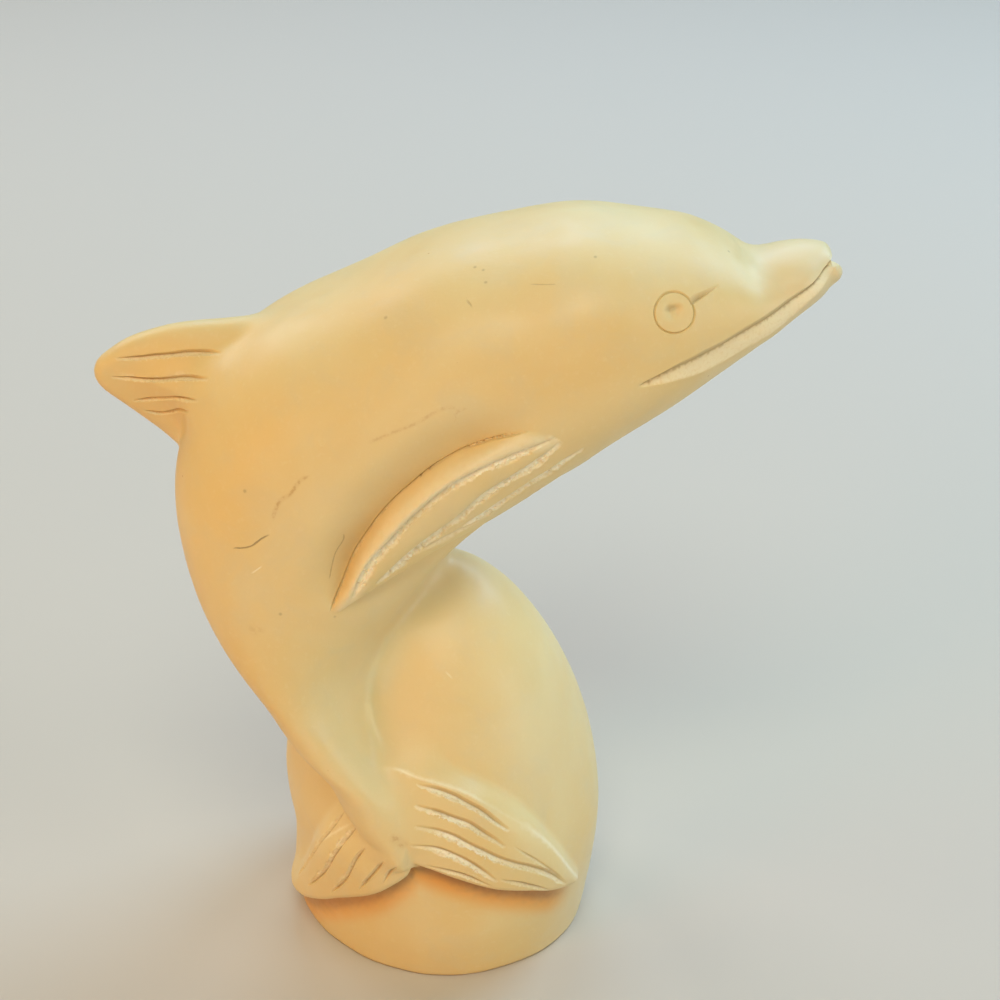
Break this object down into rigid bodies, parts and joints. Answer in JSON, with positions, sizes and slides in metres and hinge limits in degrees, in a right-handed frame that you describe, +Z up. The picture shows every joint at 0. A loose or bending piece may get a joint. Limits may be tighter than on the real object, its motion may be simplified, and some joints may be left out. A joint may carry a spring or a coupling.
{
  "type": "soapstone dolphin carving",
  "caption": "Carved cream soapstone dolphin leaping over an egg-shaped dome, its flukes wrapped round the front; a small ornament that stands on a flat round foot.",
  "frame": {"origin": "centre of the flat round foot, on the surface the carving stands on", "axes": "+X towards the dolphin's beak, +Z up, -Y towards the viewer who sees the dolphin's right flank and the flukes"},
  "size_m": [0.0937, 0.0467, 0.1018],
  "materials": {
    "soapstone": "satin, hand-polished, with rough cut grooves"
  },
  "bodies": {
    "root": {"dolphin_carving": "soapstone"}
  },
  "joints": []
}
